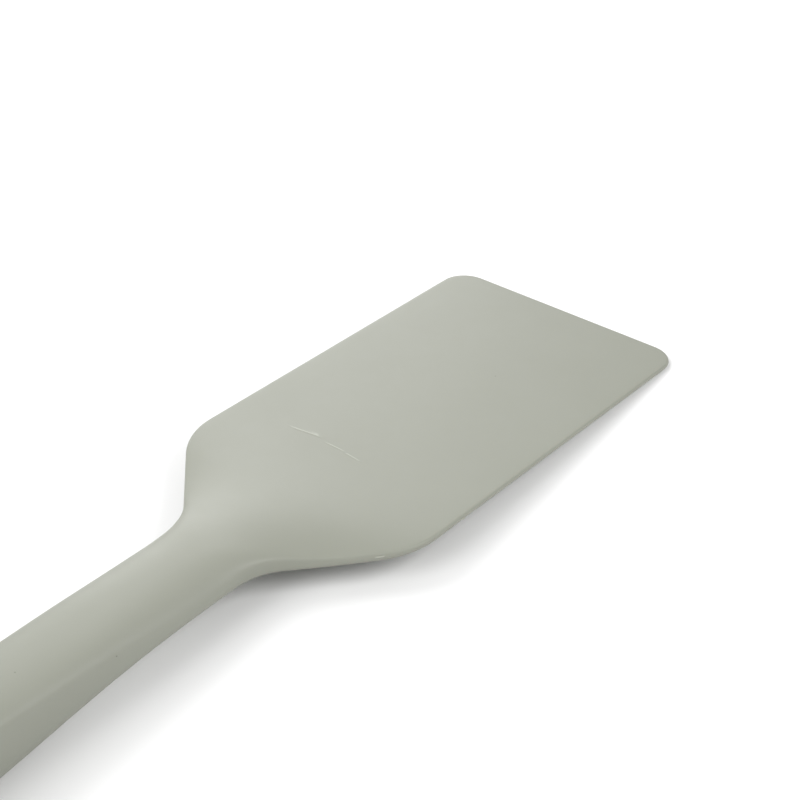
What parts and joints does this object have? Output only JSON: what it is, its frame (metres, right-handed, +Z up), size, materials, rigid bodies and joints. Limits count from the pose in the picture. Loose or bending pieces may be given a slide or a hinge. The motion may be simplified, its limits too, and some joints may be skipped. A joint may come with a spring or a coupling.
{
  "type": "offset spatula",
  "caption": "Silicone-skinned turner with a wide flat blade, rounded corners, sloping shoulders and a deep crowned grip with a hang slot.",
  "frame": {"origin": "centre of the bounding box on the table plane that the turner lies on", "axes": "+X from the heel of the grip to the blade's front edge, +Y across to the turner's left, +Z up from the table"},
  "size_m": [0.3144, 0.081, 0.028],
  "materials": {
    "silicone": "satin",
    "silicone_plug": "satin",
    "filled_nylon": "matte",
    "spring_steel": "satin",
    "rivet_steel": "satin"
  },
  "bodies": {
    "root": {"silicone_skin": "silicone", "handle_core": "filled_nylon", "blade_plate": "spring_steel", "rivet_1": "rivet_steel", "rivet_2": "rivet_steel", "rivet_3": "rivet_steel", "pin_plug_1": "silicone_plug", "pin_plug_2": "silicone_plug", "pin_plug_3": "silicone_plug", "pin_plug_4": "silicone_plug", "pin_plug_5": "silicone_plug", "pin_plug_6": "silicone_plug"}
  },
  "joints": []
}
